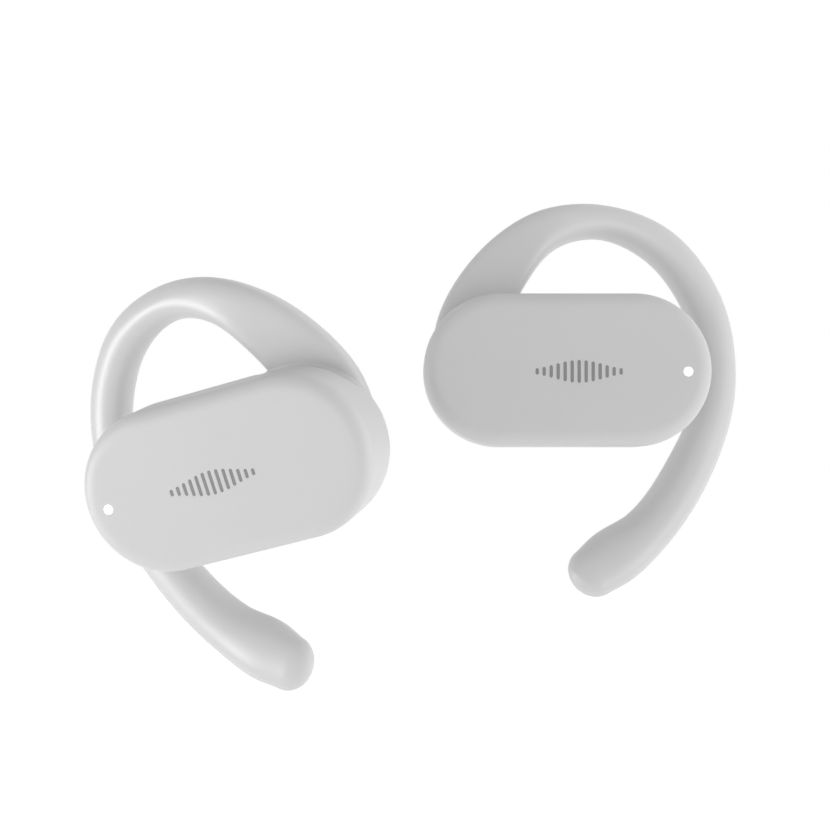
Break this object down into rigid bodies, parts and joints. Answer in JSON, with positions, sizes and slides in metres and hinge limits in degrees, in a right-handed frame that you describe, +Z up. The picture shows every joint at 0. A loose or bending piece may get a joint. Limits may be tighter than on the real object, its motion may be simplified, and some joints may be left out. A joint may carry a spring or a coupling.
{
  "type": "bone conduction earbuds",
  "caption": "Pair of open-ear bone conduction earbuds: flat stadium pods with a status light and level-bar mark, each on a sprung hook that passes over the ear to a soft bulb.",
  "frame": {"origin": "the underside of the left bud's arch, where the wearer's ear carries it", "axes": "+X from the wearer's front to back along the left bud's face, +Y from the outer face into the head, +Z up"},
  "size_m": [0.0862, 0.045, 0.0633],
  "materials": {
    "cover": "satin moulded polycarbonate, fine texture",
    "shell": "satin moulded polycarbonate",
    "sleeve": "silky silicone skin",
    "pad": "soft matte silicone",
    "seal": "black silicone",
    "mark": "printed grey inlay",
    "light": "clear white light guide",
    "led": "encapsulated lamp",
    "film": "polyimide film",
    "copper": "enamelled copper",
    "board": "green solder mask",
    "chip": "black moulding compound",
    "screw": "blackened steel",
    "cell": "nickel-plated can",
    "can": "tinned cap",
    "gold": "gold-plated",
    "nickel": "nickel-plated magnet",
    "frame": "black glass-filled nylon",
    "steel": "spring steel",
    "iron": "zinc-plated soft iron",
    "wire": "nickel-titanium wire"
  },
  "bodies": {
    "left_earbud": {"left_outer_cover": "cover", "left_inner_shell": "shell", "left_cover_seal": "seal", "left_mark_bars": "mark", "left_light_pipe": "light", "left_status_led": "led", "left_touch_film": "film", "left_antenna": "copper", "left_main_board": "board", "left_radio_chip": "chip", "left_charge_chip": "chip", "left_board_screws": "screw", "left_battery": "cell", "left_microphones": "can", "left_mic_gaskets": "seal", "left_charge_pins": "gold", "left_case_magnet": "nickel", "left_exciter_frame": "frame", "left_vibration_plate": "steel", "left_voice_coil": "copper", "left_contact_pad": "pad", "left_wire_anchor": "frame", "left_anchor_screw": "screw"},
    "left_hook": {"left_hook_wire": "wire", "left_hook_sleeve": "sleeve", "left_bulb_insert": "frame"},
    "left_exciter_mass": {"left_exciter_yoke": "iron", "left_exciter_magnet": "nickel", "left_pole_plate": "iron", "left_exciter_spring": "steel"},
    "right_earbud": {"right_outer_cover": "cover", "right_inner_shell": "shell", "right_cover_seal": "seal", "right_mark_bars": "mark", "right_light_pipe": "light", "right_status_led": "led", "right_touch_film": "film", "right_antenna": "copper", "right_main_board": "board", "right_radio_chip": "chip", "right_charge_chip": "chip", "right_board_screws": "screw", "right_battery": "cell", "right_microphones": "can", "right_mic_gaskets": "seal", "right_charge_pins": "gold", "right_case_magnet": "nickel", "right_exciter_frame": "frame", "right_vibration_plate": "steel", "right_voice_coil": "copper", "right_contact_pad": "pad", "right_wire_anchor": "frame", "right_anchor_screw": "screw"},
    "right_hook": {"right_hook_wire": "wire", "right_hook_sleeve": "sleeve", "right_bulb_insert": "frame"},
    "right_exciter_mass": {"right_exciter_yoke": "iron", "right_exciter_magnet": "nickel", "right_pole_plate": "iron", "right_exciter_spring": "steel"}
  },
  "joints": [
    {"name": "left_hook_flex", "type": "hinge", "parent": "left_earbud", "child": "left_hook", "pos_m": [-0.01364, -0.0045, -0.00558], "axis": [0.4266, 0.0984, 0.8991], "range_deg": [-4, 14], "stiffness_Nm_per_rad": 0.06},
    {"name": "left_exciter_shake", "type": "slide", "parent": "left_earbud", "child": "left_exciter_mass", "axis": [0, 1, 0], "range_m": [-0.00015, 0.00015], "stiffness_N_per_m": 250, "deforming": ["left_exciter_spring"]},
    {"name": "right_bud_lift", "type": "slide", "parent": "left_earbud", "child": "right_earbud", "axis": [0, 0, 1], "range_m": [0, 0.03]},
    {"name": "right_hook_flex", "type": "hinge", "parent": "right_earbud", "child": "right_hook", "pos_m": [-0.04025, -0.02744, -0.01575], "axis": [0.6289, -0.0904, -0.7722], "range_deg": [-4, 14], "stiffness_Nm_per_rad": 0.06},
    {"name": "right_exciter_shake", "type": "slide", "parent": "right_earbud", "child": "right_exciter_mass", "axis": [0.2584, 0.9388, 0.228], "range_m": [-0.00015, 0.00015], "stiffness_N_per_m": 250, "deforming": ["right_exciter_spring"]}
  ]
}
